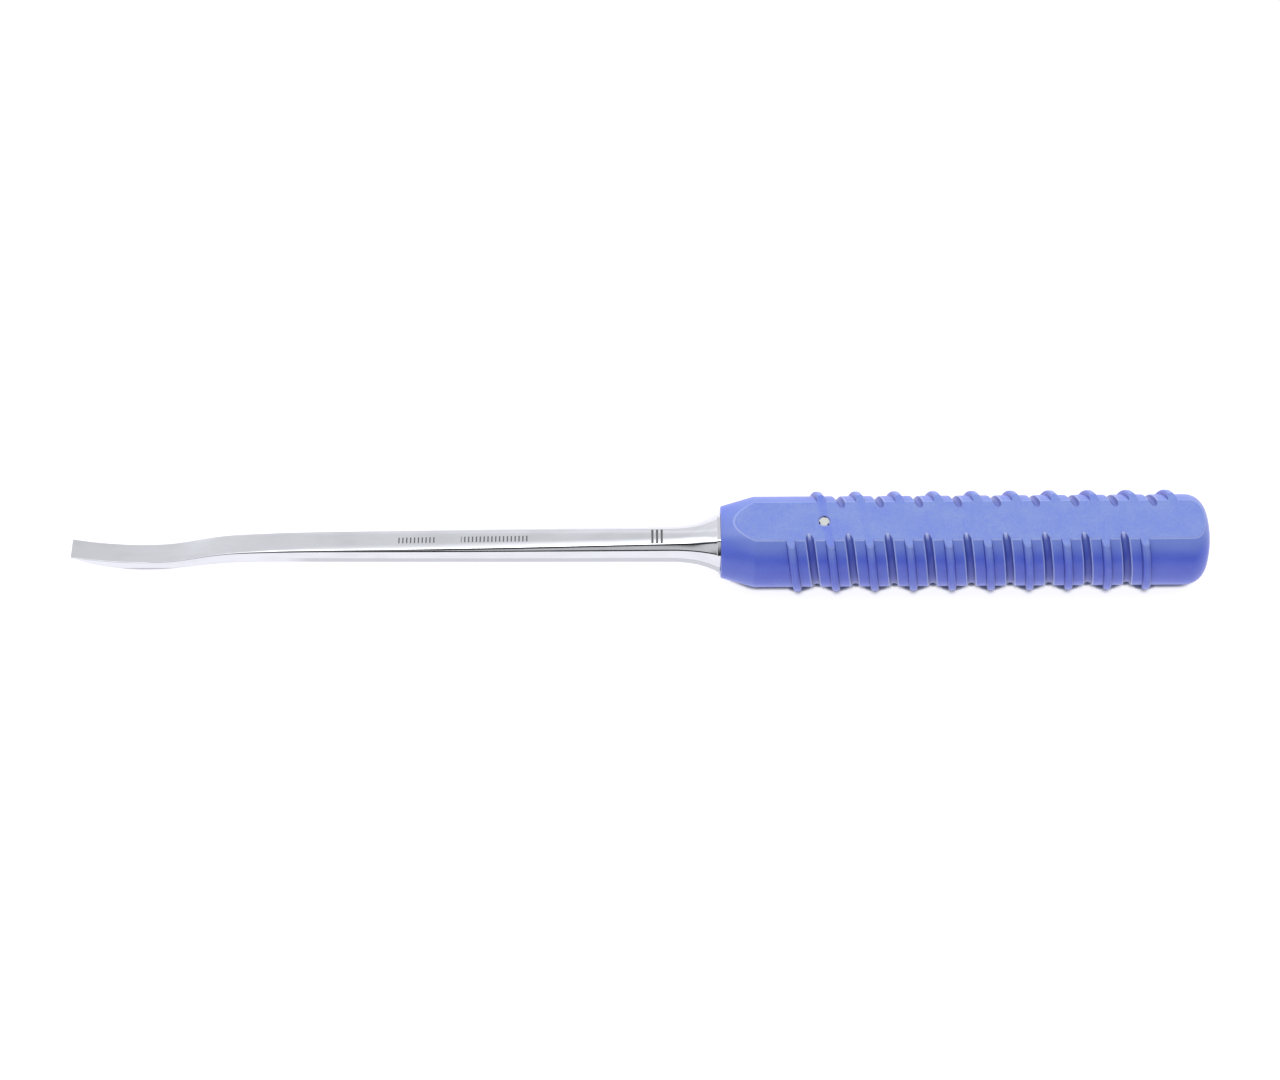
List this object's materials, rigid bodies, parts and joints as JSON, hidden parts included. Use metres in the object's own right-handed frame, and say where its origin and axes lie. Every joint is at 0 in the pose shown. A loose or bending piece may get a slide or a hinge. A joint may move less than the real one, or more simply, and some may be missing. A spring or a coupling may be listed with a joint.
{
  "type": "surgical elevator",
  "caption": "Long surgical elevator: S-bent chisel-edged blade on a tapering octagonal steel shank with a flared collar, in a flat-sided polymer grip with helical rib and groove.",
  "frame": {"origin": "middle of the length of the grip's lower milled flat, on which the instrument rests, straight below the grip's axis", "axes": "+X along the grip's axis towards the butt (the blade points to -X), +Z square to the two milled flats and away from the resting surface"},
  "size_m": [0.2941, 0.0258, 0.0206],
  "materials": {
    "steel": "satin polished, fine lengthwise grinding marks",
    "grip": "violet blue machined polymer, silky",
    "pin": "pressed-in grooved pin, ground end",
    "bond": "cured adhesive, dull"
  },
  "bodies": {
    "root": {"blade_shank": "steel", "handle_grip": "grip", "cross_pin": "pin", "tang_bond": "bond"}
  },
  "joints": []
}
